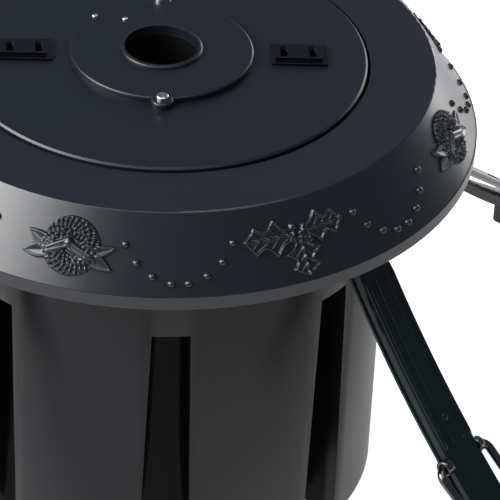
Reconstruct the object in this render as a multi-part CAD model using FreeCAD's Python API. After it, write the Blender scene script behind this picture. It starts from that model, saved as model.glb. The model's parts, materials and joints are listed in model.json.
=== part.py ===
import FreeCAD, Part
import math
import os

# Rotating stand for an artificial tree, with two mains outlets on its turntable.
# Millimetres. +Z is up, the floor is z = 0 and the origin is on the turning axis.
# -Y is the front. Azimuths are degrees counter-clockwise from +X.

V = FreeCAD.Vector
ORIGIN = V(0, 0, 0)
UP = V(0, 0, 1)

# ---- driving dimensions ----
TOP_Z = 240.0             # flat top of the rim cover
RIM_TOP_R = 122.0         # where the flat top turns into the slope
RIM_R = 142.0             # foot of the slope
LIP_R = 142.5             # upright lip band below the slope
LIP_TOP_Z = 210.6
LIP_BOTTOM_Z = 204.7
SHELL = 2.2               # moulded wall of the rim cover
RIM_OPENING_R = 93.1

DISC_R = 91.6
DISC_Z = 241.5            # top of the turntable disc
DISC_THICK = 3.0
TABLE_ANGLE = -3.0        # rest azimuth of the outlet line
HUB_R = 41.0
HUB_Z = 244.5
HUB_LIP_Z = 246.0
HUB_LIP_R = 18.4
HUB_SCREW_R = 41.5

POLE_R = 16.5             # socket for a 1 1/4 inch pole with easy clearance
TUBE_R = 19.0
TUBE_BOTTOM_Z = 45.0
TUBE_TOP_Z = 241.4

DRUM_R = 105.0
DRUM_WALL = 3.0
DRUM_BOTTOM_Z = 29.0
DECK_Z = 217.0            # top face of the drum's deck
POCKETS = 8
POCKET_TOP_Z = 163.0
POCKET_TOP_WIDTH = 17.0
POCKET_FLARE = 0.0489     # width gained per millimetre of drop
POCKET_FLOOR_R = 84.0

LEG_AZIMUTHS = {"back_right": 45, "back_left": 135, "front_left": 225, "front_right": 315}
HINGE = (116.0, 196.5)    # radius and height of the leg hinge
TOE = (312.0, 7.0)        # radius and height where the leg's middle line meets the foot
LEG_BOW_R = 560.0         # radius of the leg's bow, hollow side up
LEG_HALF_DEPTH = 3.25
LEG_SHEET = 1.6           # thickness of the pressed channel
CROWN_HALF_WIDTH = 10.0   # flat-topped channel
LIP_HALF_WIDTH = 10.9     # turned-out lips along the channel's lower edges
LIP_THICK = 1.2
LEG_DIMPLE = (168.0, 127.2)
LEG_TRIM_Z = 3.0
TOE_RUN_ON = 0.012        # radians of bow beyond the toe, inside the foot
HOLLOW_START = 0.035      # radians of bow left solid below the hinge
HOLLOW_STOP = 0.04        # radians of bow left solid inside the foot

HINGE_PIN_R = 3.0
STAY_WIRE_R = 2.0
STAY_PIVOT = (180.0, 112.3)
STAY_END = (287.0, 30.0)
STAY_PIVOT_HALF = 16.5
STAY_END_HALF = 13.7
STAY_BEND = 5.0           # straight length taken up by each bend

GEAR_MODULE = 1.5
GEAR_TEETH = 64
PINION_TEETH = 12
PRESSURE_ANGLE = math.radians(20)
GEAR_Z = (186.0, 194.0)
MOTOR_AZIMUTH = 67.5
MOTOR_R = 23.0
MOTOR_Z = (150.0, 180.0)
MOTOR_EAR_REACH = 29.0
MOTOR_COVER_THICK = 2.0
MOTOR_SHELL = 1.5
MOTOR_SHAFT_R = 2.5
OUTPUT_WHEEL_TEETH = 22
OUTPUT_WHEEL_Z = (164.0, 169.0)

BALL_R = 3.175
BALL_CIRCLE_R = 33.5
BALL_COUNT = 12
BALL_Z = 222.6

CORD_R = 2.75
CORD_AZIMUTH = 112.5
CORD_TOP_Z = DECK_Z + 4   # where the cord ends inside the brush block
CORD_EXIT_Z = 45.0
CORD_BEND = 15.0
CORD_RUN = 20.0
CORD_DROP_BEND = 20.0
COIL_R = 60.0
COIL_PITCH = 6.2
COIL_Z = 3.6
CORD_FLOOR_BEND = CORD_EXIT_Z - CORD_DROP_BEND - COIL_Z
PLUG_Z = 7.2
PLUG_GRIP = 10.0          # length of cord held inside the plug
BLADE_SPACING = 12.7

RUN = 0.06                # radial clearance where one piece turns in another
LOOSE = 0.1               # clearance between pieces that only sit together


# ---- helpers ----
def cyl(radius, z0, z1, x=0.0, y=0.0):
    return Part.makeCylinder(radius, z1 - z0, V(x, y, z0), UP)


def ring(inner, outer, z0, z1):
    return cyl(outer, z0, z1).cut(cyl(inner, z0 - 1, z1 + 1))


def box(x0, x1, y0, y1, z0, z1):
    return Part.makeBox(x1 - x0, y1 - y0, z1 - z0, V(x0, y0, z0))


def crosswise(radius, place, y0, y1):
    """Cylinder along Y through a (radius, height) place."""
    return Part.makeCylinder(radius, y1 - y0, V(place[0], y0, place[1]), V(0, 1, 0))


def turned(shape, azimuth):
    copy = shape.copy()
    copy.rotate(ORIGIN, UP, azimuth)
    return copy


def polar(radius, azimuth):
    angle = math.radians(azimuth)
    return (radius * math.cos(angle), radius * math.sin(angle))


def revolved(outline):
    """Solid of revolution about Z from (radius, height) corners."""
    points = [V(r, 0, z) for r, z in outline]
    face = Part.Face(Part.makePolygon(points + points[:1]))
    return face.revolve(ORIGIN, UP, 360)


def rounded(shape, radius, wanted):
    """Fillet the edges for which wanted(edge) is true."""
    edges = [edge for edge in shape.Edges if wanted(edge)]
    return shape.makeFillet(radius, edges)


def circle_at(radius, z):
    """Picks the full circular edges of one radius at one height."""
    def wanted(edge):
        if not isinstance(edge.Curve, Part.Circle):
            return False
        limits = edge.BoundBox
        flat = abs(limits.ZMax - z) < 0.01 and abs(limits.ZMin - z) < 0.01
        return flat and abs(edge.Curve.Radius - radius) < 0.01
    return wanted


def swept(points, radius):
    """Round cord along a smooth curve through the points."""
    curve = Part.BSplineCurve()
    curve.interpolate(points)
    path = Part.Wire([curve.toShape()])
    start = curve.value(curve.FirstParameter)
    heading = curve.tangent(curve.FirstParameter)[0]
    profile = Part.Wire([Part.Circle(start, heading, radius).toShape()])
    return path.makePipeShell([profile], True, False)


def pan_screw(head_r, head_h, shank_r, length):
    """Cross-head screw, shank downwards, with its seat at z = 0."""
    head = rounded(cyl(head_r, 0, head_h), head_h * 0.45, circle_at(head_r, head_h))
    slot = box(-head_r * 0.6, head_r * 0.6, -head_r * 0.15, head_r * 0.15, head_h * 0.4, head_h + 1)
    screw = head.fuse(cyl(shank_r, -length, 0.1))
    return screw.cut(slot).cut(turned(slot, 90))


def placed(shape, x, y, z, flipped=False):
    copy = shape.copy()
    if flipped:
        copy.rotate(ORIGIN, V(1, 0, 0), 180)
    copy.translate(V(x, y, z))
    return copy


def export(node, *shapes):
    """Write one node, as a single solid or as a group of separate solids."""
    solids = [solid for shape in shapes for solid in shape.Solids]
    body = solids[0] if len(solids) == 1 else Part.makeCompound(solids)
    body.exportStep("parts/" + node + ".step")


# ---- rim cover ----
CAP_SCREW_AZIMUTHS = (0, 90, 180, 270)
CAP_SCREW_R = 98.0


def rim_cover():
    outline = [
        (RIM_OPENING_R, TOP_Z), (RIM_TOP_R, TOP_Z), (RIM_R, LIP_TOP_Z), (LIP_R, LIP_TOP_Z),
        (LIP_R, LIP_BOTTOM_Z), (LIP_R - SHELL, LIP_BOTTOM_Z), (LIP_R - SHELL, LIP_TOP_Z - 1.0),
        (RIM_TOP_R - 1.2, TOP_Z - SHELL), (RIM_OPENING_R + SHELL, TOP_Z - SHELL),
        (RIM_OPENING_R + SHELL, TOP_Z - 14), (RIM_OPENING_R, TOP_Z - 14),
    ]
    cover = revolved(outline)
    for azimuth in CAP_SCREW_AZIMUTHS:
        x, y = polar(CAP_SCREW_R, azimuth)
        cover = cover.fuse(cyl(4.6, DECK_Z, TOP_Z - 0.5 * SHELL, x, y))
    for azimuth in CAP_SCREW_AZIMUTHS:
        x, y = polar(CAP_SCREW_R, azimuth)
        cover = cover.cut(cyl(1.6, DECK_Z - 1, DECK_Z + 13, x, y))
    return rounded(cover, 1.0, circle_at(RIM_TOP_R, TOP_Z))


# ---- drum: deck, slotted side and the bosses that carry everything else ----
FRAME_SCREW_R = 97.5
BASE_POST_R = 98.0
BASE_Z = (34.0, 37.0)
BASE_POST_AZIMUTHS = (67.5, 157.5, 247.5, 337.5)
BUSH_R = 22.0
BRUSH_R = 83.0
BRUSH_SCREW_OFFSET = 6.3


def pocket(grow):
    """One tapered recess, open at the bottom, grown by a wall thickness."""
    top = POCKET_TOP_Z + grow
    bottom = DRUM_BOTTOM_Z - 5
    half_top = POCKET_TOP_WIDTH / 2 + grow
    half_bottom = half_top + (top - bottom) * POCKET_FLARE / 2
    inner = POCKET_FLOOR_R - grow
    corners = [V(inner, -half_bottom, bottom), V(inner, half_bottom, bottom),
               V(inner, half_top, top), V(inner, -half_top, top)]
    face = Part.Face(Part.makePolygon(corners + corners[:1]))
    prism = face.extrude(V(DRUM_R + 8 - inner, 0, 0))

    def upright_inner_edge(edge):
        limits = edge.BoundBox
        return limits.XMax < inner + 0.01 and limits.ZLength > 20
    return rounded(prism, 5.0 + grow, upright_inner_edge)


def motor_centre():
    distance = GEAR_MODULE * (GEAR_TEETH + PINION_TEETH) / 2
    return polar(distance, MOTOR_AZIMUTH)


def motor_ears():
    """Centres of the motor's two fixing ears."""
    x, y = motor_centre()
    across = polar(MOTOR_EAR_REACH, MOTOR_AZIMUTH + 90)
    return [(x + side * across[0], y + side * across[1]) for side in (-1, 1)]


def drum():
    walls = cyl(DRUM_R, DRUM_BOTTOM_Z, DECK_Z)
    hollow = cyl(DRUM_R - DRUM_WALL, DRUM_BOTTOM_Z - 1, DECK_Z - DRUM_WALL)
    for k in range(POCKETS):
        hollow = hollow.cut(turned(pocket(2.2), k * 360 / POCKETS))
    body = walls.cut(hollow)
    for azimuth in BASE_POST_AZIMUTHS:
        x, y = polar(BASE_POST_R, azimuth)
        body = body.fuse(cyl(4.6, BASE_Z[1], DECK_Z - 1, x, y))
    for azimuth in LEG_AZIMUTHS.values():
        x, y = polar(FRAME_SCREW_R, azimuth)
        body = body.fuse(cyl(5.0, DECK_Z - 19, DECK_Z - 1, x, y))
    for x, y in motor_ears():
        body = body.fuse(cyl(4.5, MOTOR_Z[1], DECK_Z - 1, x, y))
    body = body.fuse(cyl(BUSH_R + 3, DECK_Z - 14, DECK_Z - 1))
    for k in range(POCKETS):
        body = body.cut(turned(pocket(0), k * 360 / POCKETS))
    return drilled_drum(body)


def drilled_drum(body):
    body = body.cut(cyl(BUSH_R + LOOSE, DECK_Z - 20, DECK_Z + 1))
    for azimuth in BASE_POST_AZIMUTHS:
        x, y = polar(BASE_POST_R, azimuth)
        body = body.cut(cyl(1.6, BASE_Z[1] - 1, BASE_Z[1] + 12, x, y))
    for azimuth in LEG_AZIMUTHS.values():
        x, y = polar(FRAME_SCREW_R, azimuth)
        body = body.cut(cyl(2.1, DECK_Z - 16, DECK_Z + 1, x, y))
    for azimuth in CAP_SCREW_AZIMUTHS:
        x, y = polar(CAP_SCREW_R, azimuth)
        body = body.cut(cyl(2.1, DECK_Z - 5, DECK_Z + 1, x, y))
    for x, y in motor_ears():
        body = body.cut(cyl(1.6, MOTOR_Z[1] - 1, MOTOR_Z[1] + 12, x, y))
    cord_hole = cyl(CORD_R + 0.8, DECK_Z - 5, DECK_Z + 1, BRUSH_R, 0)
    screw_holes = [cyl(1.3, DECK_Z - 5, DECK_Z + 1, BRUSH_R, side * BRUSH_SCREW_OFFSET) for side in (-1, 1)]
    for hole in [cord_hole, grip_hole()] + screw_holes:
        body = body.cut(turned(hole, CORD_AZIMUTH))
    return body


def grip_hole():
    return Part.makeCylinder(6.1, 20, V(DRUM_R - 12, 0, CORD_EXIT_Z), V(1, 0, 0))


def base_plate():
    plate = cyl(DRUM_R - DRUM_WALL - 0.3, BASE_Z[0], BASE_Z[1])
    plate = plate.fuse(cyl(BUSH_R + 3, BASE_Z[0], 54))
    for k in range(POCKETS):
        plate = plate.cut(turned(pocket(2.5), k * 360 / POCKETS))
    plate = plate.cut(cyl(BUSH_R + LOOSE, BASE_Z[1], 60))
    for azimuth in BASE_POST_AZIMUTHS:
        x, y = polar(BASE_POST_R, azimuth)
        plate = plate.cut(cyl(2.1, BASE_Z[0] - 1, BASE_Z[1] + 1, x, y))
    for azimuth in range(0, 360, 30):
        x, y = polar(54, azimuth)
        plate = plate.cut(cyl(6, BASE_Z[0] - 1, BASE_Z[1] + 1, x, y))
    return plate


def bush(z0, z1, flange_z0, flange_z1):
    """Plain sleeve for the pole tube with a thin flange at one end."""
    sleeve = cyl(BUSH_R, z0, z1).fuse(cyl(BUSH_R + 1.8, flange_z0, flange_z1))
    return sleeve.cut(cyl(TUBE_R + RUN, z0 - 5, z1 + 5))


# ---- steel spider that carries the legs ----
ARM_HALF_WIDTH = 14.2
EAR_GAP_HALF = 11.2
EAR_START_R = 108.0
EAR_DROP = 5.0            # ear below the hinge axis
FRAME_Z = (DECK_Z, DECK_Z + 2.5)
ARM_REACH = 124.0


def leg_frame():
    plate = ring(50, 64, *FRAME_Z)
    for azimuth in LEG_AZIMUTHS.values():
        arm = box(55, ARM_REACH, -ARM_HALF_WIDTH, ARM_HALF_WIDTH, *FRAME_Z)
        for side in (-1, 1):
            low, high = sorted((side * EAR_GAP_HALF, side * ARM_HALF_WIDTH))
            ear = box(EAR_START_R, ARM_REACH, low, high, HINGE[1] - EAR_DROP, DECK_Z + 1)
            arm = arm.fuse(ear)
        pin_hole = crosswise(HINGE_PIN_R + RUN, HINGE, -20, 20)
        arm = arm.cut(pin_hole).cut(cyl(2.1, DECK_Z - 1, DECK_Z + 9, FRAME_SCREW_R, 0))
        plate = plate.fuse(turned(arm, azimuth))
    return plate


def hinge_pin():
    pin = crosswise(HINGE_PIN_R, HINGE, -ARM_HALF_WIDTH - 1.5, ARM_HALF_WIDTH + 1.5)
    head = crosswise(4.6, HINGE, ARM_HALF_WIDTH + 0.05, ARM_HALF_WIDTH + 1.65)
    clip = crosswise(4.2, HINGE, -ARM_HALF_WIDTH - 1.15, -ARM_HALF_WIDTH - 0.15)
    return pin.fuse([head, clip])


# ---- legs, stays and feet, modelled towards +X and then turned ----
def bow_centre():
    """Centre of the leg's bow, above and outside the line from hinge to toe."""
    run = TOE[0] - HINGE[0]
    drop = TOE[1] - HINGE[1]
    chord = math.hypot(run, drop)
    reach = math.sqrt(LEG_BOW_R ** 2 - (chord / 2) ** 2)
    return ((HINGE[0] + TOE[0]) / 2 - drop / chord * reach, (HINGE[1] + TOE[1]) / 2 + run / chord * reach)


def bow_angle(point):
    cx, cz = bow_centre()
    return math.atan2(point[1] - cz, point[0] - cx)


def bow_band(depth_low, depth_high, half_width, start, end):
    """Slab that follows the bow; depths are measured from its middle line, upwards."""
    cx, cz = bow_centre()

    def at(radius, angle):
        return V(cx + radius * math.cos(angle), -half_width, cz + radius * math.sin(angle))
    outer = LEG_BOW_R - depth_low
    inner = LEG_BOW_R - depth_high
    middle = (start + end) / 2
    edges = [
        Part.Arc(at(outer, start), at(outer, middle), at(outer, end)).toShape(),
        Part.makeLine(at(outer, end), at(inner, end)),
        Part.Arc(at(inner, end), at(inner, middle), at(inner, start)).toShape(),
        Part.makeLine(at(inner, start), at(outer, start)),
    ]
    return Part.Face(Part.Wire(edges)).extrude(V(0, 2 * half_width, 0))


def crown_edge(edge):
    """The two long upper edges of the crown."""
    cx, cz = bow_centre()
    if not isinstance(edge.Curve, Part.Circle) or edge.Length < 100:
        return False
    middle = edge.valueAt((edge.FirstParameter + edge.LastParameter) / 2)
    radius = math.hypot(middle.x - cx, middle.z - cz)
    return abs(radius - (LEG_BOW_R - LEG_HALF_DEPTH)) < 0.05


def leg():
    """Pressed channel with turned-out lips, closed at the hinge by a solid head and heel."""
    start = bow_angle(HINGE)
    end = bow_angle(TOE) + TOE_RUN_ON
    crown = bow_band(-LEG_HALF_DEPTH, LEG_HALF_DEPTH, CROWN_HALF_WIDTH, start, end)
    crown = rounded(crown, 2.0, crown_edge)
    lips = bow_band(-LEG_HALF_DEPTH, LIP_THICK - LEG_HALF_DEPTH, LIP_HALF_WIDTH, start, end)
    head = crosswise(7.0, HINGE, -LIP_HALF_WIDTH, LIP_HALF_WIDTH)
    heel = box(HINGE[0] + 1, HINGE[0] + 7.5, -LIP_HALF_WIDTH, LIP_HALF_WIDTH, HINGE[1], DECK_Z - 0.2)
    dimple = Part.makeSphere(3.0, V(LEG_DIMPLE[0], 0, LEG_DIMPLE[1]))
    body = crown.fuse([lips, head, heel, dimple])
    roof = LEG_HALF_DEPTH - LEG_SHEET
    inside = CROWN_HALF_WIDTH - LEG_SHEET
    body = body.cut(bow_band(-LEG_HALF_DEPTH - 3, roof, inside, start + HOLLOW_START, end - HOLLOW_STOP))
    body = body.cut(crosswise(HINGE_PIN_R + RUN, HINGE, -20, 20))
    body = body.cut(crosswise(STAY_WIRE_R + RUN, STAY_PIVOT, -20, 20))
    body = body.cut(box(250, 400, -20, 20, -60, LEG_TRIM_Z))
    return body.removeSplitter()


def foot():
    """Rubber shoe with a level sole."""
    shoe = box(TOE[0] - 19, TOE[0] + 15, -14, 14, 0, 14)

    def upright_or_top(edge):
        limits = edge.BoundBox
        return limits.ZMax > 13.9
    shoe = rounded(shoe, 4.0, upright_or_top)
    end = bow_angle(TOE) + TOE_RUN_ON
    grown = LEG_HALF_DEPTH + LOOSE
    socket = bow_band(-grown, grown, LIP_HALF_WIDTH + LOOSE, bow_angle(HINGE) + 0.3, end + 0.0003)
    socket = socket.cut(box(250, 400, -20, 20, -60, LEG_TRIM_Z - LOOSE))
    return shoe.cut(socket)


def toward(point, target, distance):
    length = math.hypot(target[0] - point[0], target[1] - point[1])
    return (point[0] + (target[0] - point[0]) * distance / length,
            point[1] + (target[1] - point[1]) * distance / length)


def stay():
    """Bent wire loop; its two ends meet inside the pivot hole in the leg."""
    run = STAY_END[0] - STAY_PIVOT[0]
    drop = STAY_END[1] - STAY_PIVOT[1]
    length = math.hypot(run, drop)
    corners = [(0, STAY_PIVOT_HALF), (length, STAY_END_HALF), (length, -STAY_END_HALF), (0, -STAY_PIVOT_HALF)]
    stops = [(0, 0.3)] + corners + [(0, -0.3)]

    def on_plane(point):
        return V(STAY_PIVOT[0] + run * point[0] / length, point[1], STAY_PIVOT[1] + drop * point[0] / length)
    edges = []
    here = stops[0]
    for before, corner, after in zip(stops, stops[1:], stops[2:]):
        bend_in = toward(corner, before, STAY_BEND)
        bend_out = toward(corner, after, STAY_BEND)
        half_chord = math.dist(bend_in, bend_out) / 2
        half_angle = math.asin(half_chord / STAY_BEND)
        middle_gap = STAY_BEND * math.tan(half_angle) * (1 / math.sin(half_angle) - 1)
        chord_middle = ((bend_in[0] + bend_out[0]) / 2, (bend_in[1] + bend_out[1]) / 2)
        middle = toward(corner, chord_middle, middle_gap)
        edges.append(Part.makeLine(on_plane(here), on_plane(bend_in)))
        edges.append(Part.Arc(on_plane(bend_in), on_plane(middle), on_plane(bend_out)).toShape())
        here = bend_out
    edges.append(Part.makeLine(on_plane(here), on_plane(stops[-1])))
    profile = Part.Wire([Part.Circle(on_plane(stops[0]), V(0, 1, 0), STAY_WIRE_R).toShape()])
    return Part.Wire(edges).makePipeShell([profile], True, False)


# ---- turntable ----
OUTLET_R = 61.0
OUTLET_SLOTS_R = (54.3, 67.1)
HUB_RIVETS = ((-29.7, 25.8), (-16.2, 23.6))
RIVET_HEAD_R = 1.15
RIVET_SHANK_R = 0.7
SLIP_RINGS = ((78.0, 81.0), (84.0, 87.0))
RING_Z = (231.5, 233.4)
FLANGE_Z = (228.2, DISC_Z - DISC_THICK)


def table_turned(shape):
    return turned(shape, TABLE_ANGLE)


def turntable_disc():
    disc = cyl(DISC_R, DISC_Z - DISC_THICK, DISC_Z).cut(cyl(TUBE_R + LOOSE, 230, 250))
    disc = disc.makeChamfer(0.8, [edge for edge in disc.Edges if circle_at(DISC_R, DISC_Z)(edge)])
    for azimuth in (0, 180):
        disc = disc.cut(turned(box(OUTLET_R - 11.1, OUTLET_R + 11.1, -6.1, 6.1, 230, 250), azimuth))
    for azimuth in (90, 270):
        disc = disc.cut(cyl(1.8, 230, 250, *polar(HUB_SCREW_R, azimuth)))
    return table_turned(disc)


def hub_cover():
    cover = cyl(HUB_R, DISC_Z, HUB_Z)
    for azimuth in (90, 270):
        cover = cover.fuse(cyl(4.9, DISC_Z, HUB_Z, *polar(HUB_SCREW_R + 0.3, azimuth)))

    def top_rim(edge):
        limits = edge.BoundBox
        return limits.ZMin > HUB_Z - 0.01
    cover = rounded(cover.removeSplitter(), 1.2, top_rim)
    lip = rounded(cyl(HUB_LIP_R, HUB_Z - 1, HUB_LIP_Z), 1.2, circle_at(HUB_LIP_R, HUB_LIP_Z))
    cover = cover.fuse(lip).cut(cyl(POLE_R, 230, 250))
    for azimuth in (90, 270):
        cover = cover.cut(cyl(1.8, 230, 250, *polar(HUB_SCREW_R, azimuth)))
    for x, y in HUB_RIVETS:
        cover = cover.cut(cyl(RIVET_SHANK_R + 0.05, 230, 250, x, y))
    return table_turned(cover)


def hub_rivet(x, y):
    top = HUB_Z + 0.8
    head = rounded(cyl(RIVET_HEAD_R, HUB_Z, top, x, y), 0.5, circle_at(RIVET_HEAD_R, top))
    return table_turned(head.fuse(cyl(RIVET_SHANK_R, DISC_Z + 0.1, HUB_Z + 0.1, x, y)))


def hub_flange():
    """Solid hub between the thrust bearing and the disc, clamped on the tube."""
    flange = ring(TUBE_R + 0.02, 46.2, *FLANGE_Z)
    for azimuth in (90, 270):
        flange = flange.cut(cyl(1.65, FLANGE_Z[0] + 3, 250, *polar(HUB_SCREW_R, azimuth)))
    return table_turned(flange)


def pole_stop():
    """Dished disc that closes the tube's lower end inside the lower bush."""
    disc = cyl(TUBE_R, TUBE_BOTTOM_Z - 6, TUBE_BOTTOM_Z - 0.02)
    return disc.cut(cyl(POLE_R + 0.3, TUBE_BOTTOM_Z - 0.6, TUBE_BOTTOM_Z + 1))


def outlet_housing():
    face = rounded(box(OUTLET_R - 12.85, OUTLET_R + 12.85, -8.3, 8.3, DISC_Z, DISC_Z + 1.3), 1.0,
                   lambda edge: edge.BoundBox.ZLength > 1)
    block = box(OUTLET_R - 10.5, OUTLET_R + 10.5, -5.5, 5.5, DISC_Z, DISC_Z + 2.6)
    body = face.fuse([block, box(OUTLET_R - 11, OUTLET_R + 11, -6, 6, 224, DISC_Z + 0.5)])
    for radius in OUTLET_SLOTS_R:
        body = body.cut(box(radius - 0.9, radius + 0.9, -3.6, 3.6, 237, 250))
        body = body.cut(box(radius - 2.2, radius + 2.2, -4.6, 4.6, 225.5, 239))
        mouth = Part.makePlane(3.4, 8.6, V(radius - 1.7, -4.3, DISC_Z + 2.6))
        throat = Part.makePlane(1.8, 7.2, V(radius - 0.9, -3.6, DISC_Z + 1.4))
        funnel = Part.makeLoft([mouth.OuterWire, throat.OuterWire], True)
        body = body.cut(funnel)
    mark = cyl(0.7, DISC_Z + 2.2, 250, OUTLET_SLOTS_R[1] - 3.6, 0)
    return body.cut(mark)


def outlet_contact(radius):
    """Sprung brass clip that grips one plug blade."""
    clip = box(radius - 1.7, radius + 1.7, -3.9, 3.9, 226, 238)
    return clip.cut(box(radius - 1.15, radius + 1.15, -5, 5, 226.6, 239))


def slip_ring_carrier():
    carrier = ring(76, 90, 232, DISC_Z - DISC_THICK)
    for inner, outer in SLIP_RINGS:
        carrier = carrier.cut(ring(inner - LOOSE, outer + LOOSE, 231, 233.5))
    for azimuth in (0, 180):
        for side in (-3, 3):
            hole = Part.makeCylinder(1.0, 5, V(75, side, 236), V(1, 0, 0))
            carrier = carrier.cut(turned(hole, azimuth))
    return table_turned(carrier)


def outlet_lead(azimuth, side):
    lead = Part.makeCylinder(0.9, 7.4, V(OUTLET_R + 11.05, side, 236), V(1, 0, 0))
    return table_turned(turned(lead, azimuth))


# ---- brushes ----
def brush_block():
    block = box(BRUSH_R - 8.5, BRUSH_R + 8.5, -8.2, 8.2, DECK_Z, DECK_Z + 9)
    block = block.cut(cyl(CORD_R + 0.8, DECK_Z - 1, DECK_Z + 5, BRUSH_R, 0))
    for side in (-1, 1):
        block = block.cut(cyl(1.4, DECK_Z - 1, DECK_Z + 10, BRUSH_R, side * BRUSH_SCREW_OFFSET))
    return turned(block, CORD_AZIMUTH)


def brush_leaf(ring_middle):
    """Bent spring strip that rises from the block to just under one slip ring."""
    seat = DECK_Z + 9
    contact = RING_Z[0] - LOOSE
    thick = 0.4
    profile = [(-4.2, seat), (-2, seat), (4.5, contact - thick), (8, contact - thick), (8, contact),
               (4.4, contact), (-2.1, seat + thick), (-4.2, seat + thick)]
    points = [V(ring_middle - 1, t, z) for t, z in profile]
    face = Part.Face(Part.makePolygon(points + points[:1]))
    return turned(face.extrude(V(2, 0, 0)), CORD_AZIMUTH)


# ---- thrust bearing ----
def bearing_race(z0, z1):
    groove = Part.makeTorus(BALL_CIRCLE_R, BALL_R + 0.08, V(0, 0, BALL_Z), UP)
    return ring(24, 43, z0, z1).cut(groove)


def ball_places():
    return [polar(BALL_CIRCLE_R, k * 360 / BALL_COUNT) for k in range(BALL_COUNT)]


def ball_cage():
    cage = ring(27, 40, BALL_Z - 0.7, BALL_Z + 0.7)
    for x, y in ball_places():
        cage = cage.cut(cyl(BALL_R + RUN, BALL_Z - 2, BALL_Z + 2, x, y))
    return cage


# ---- gears and motor ----
def involute(base_r, radius):
    """Angle swept by the involute between its base circle and a radius."""
    if radius <= base_r:
        return 0.0
    spread = math.sqrt((radius / base_r) ** 2 - 1)
    return spread - math.atan(spread)


def gear(teeth, addendum, dedendum, z0, z1, backlash, first_tooth):
    """Spur gear with one tooth centred on the first_tooth azimuth."""
    pitch_r = GEAR_MODULE * teeth / 2
    base_r = pitch_r * math.cos(PRESSURE_ANGLE)
    tip_r = pitch_r + addendum
    root_r = pitch_r - dedendum
    half = math.pi / (2 * teeth) - backlash / pitch_r + involute(base_r, pitch_r)
    flank_start = max(base_r, root_r)
    radii = [flank_start + (tip_r - flank_start) * i / 5 for i in range(6)]
    flank = [(radius, half - involute(base_r, radius)) for radius in radii]
    outline = []
    for k in range(teeth):
        middle = math.radians(first_tooth) + 2 * math.pi * k / teeth
        outline.append((root_r, middle - flank[0][1]))
        outline += [(radius, middle - angle) for radius, angle in flank]
        outline += [(radius, middle + angle) for radius, angle in reversed(flank)]
        outline.append((root_r, middle + flank[0][1]))
    points = [V(r * math.cos(a), r * math.sin(a), z0) for r, a in outline]
    face = Part.Face(Part.makePolygon(points + points[:1]))
    return face.extrude(V(0, 0, z1 - z0))


def drive_gear():
    wheel = gear(GEAR_TEETH, 1.0, 1.9, *GEAR_Z, 0.06, MOTOR_AZIMUTH)
    wheel = wheel.fuse(cyl(24, GEAR_Z[0] - 6, GEAR_Z[0] + 0.1))
    wheel = wheel.cut(cyl(TUBE_R + 0.02, 170, 210))
    for azimuth in range(0, 360, 60):
        wheel = wheel.cut(cyl(6.5, 170, 210, *polar(34, azimuth)))
    return wheel


def motor_pinion():
    x, y = motor_centre()
    half_pitch = 180 / PINION_TEETH
    pinion = gear(PINION_TEETH, 1.5, 1.6, *GEAR_Z, 0.06, MOTOR_AZIMUTH + 180 + half_pitch)
    return placed(pinion.cut(cyl(MOTOR_SHAFT_R + 0.02, 170, 210)), x, y, 0)


def motor_case():
    """Drawn cup with a foot bearing for the output shaft."""
    x, y = motor_centre()
    floor = MOTOR_Z[0]
    cup_top = MOTOR_Z[1] - MOTOR_COVER_THICK - 0.02
    cup = rounded(cyl(MOTOR_R, floor, cup_top), 2.0, circle_at(MOTOR_R, floor))
    cup = cup.cut(cyl(MOTOR_R - MOTOR_SHELL, floor + MOTOR_SHELL, cup_top + 1))
    cup = cup.fuse(cyl(5, floor + 1, floor + 8)).cut(cyl(MOTOR_SHAFT_R + RUN, floor + 3.9, floor + 9))
    return placed(cup, x, y, 0)


def motor_cover():
    """Lid of the motor with two fixing ears."""
    x, y = motor_centre()
    low = MOTOR_Z[1] - MOTOR_COVER_THICK
    high = MOTOR_Z[1]
    plate = cyl(MOTOR_R, low, high).fuse(box(-4.5, 4.5, -MOTOR_EAR_REACH, MOTOR_EAR_REACH, low, high))
    for side in (-1, 1):
        plate = plate.fuse(cyl(4.5, low, high, 0, side * MOTOR_EAR_REACH))
    plate = plate.cut(cyl(MOTOR_SHAFT_R + RUN, low - 1, high + 1))
    for side in (-1, 1):
        plate = plate.cut(cyl(1.8, low - 1, high + 1, 0, side * MOTOR_EAR_REACH))
    return placed(turned(plate.removeSplitter(), MOTOR_AZIMUTH), x, y, 0)


def motor_output_wheel():
    """Steel wheel on the output shaft, last of the motor's reduction gears."""
    x, y = motor_centre()
    wheel = gear(OUTPUT_WHEEL_TEETH, 1.0, 1.2, *OUTPUT_WHEEL_Z, 0.06, 0)
    return placed(wheel.cut(cyl(MOTOR_SHAFT_R + 0.02, 150, 180)), x, y, 0)


def motor_leads():
    """Pair of wires from the motor case up to where the mains cord ends."""
    x, y = motor_centre()
    dx, dy = polar(MOTOR_R + 1.2, 140)
    leads = []
    for offset in (0, 2.6):
        end_x, end_y = polar(BRUSH_R - 9 - offset, CORD_AZIMUTH)
        points = [V(x + dx, y + dy, 172 - offset), V(x + dx - 6, y + dy + 2, 174 - offset),
                  V(x + dx - 16, y + dy + 3, 190), V(end_x, end_y, 212)]
        leads.append(swept(points, 0.9))
    return leads


# ---- mains cord and plug ----
def cord_point(radius, z):
    x, y = polar(radius, CORD_AZIMUTH)
    return V(x, y, z)


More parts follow.
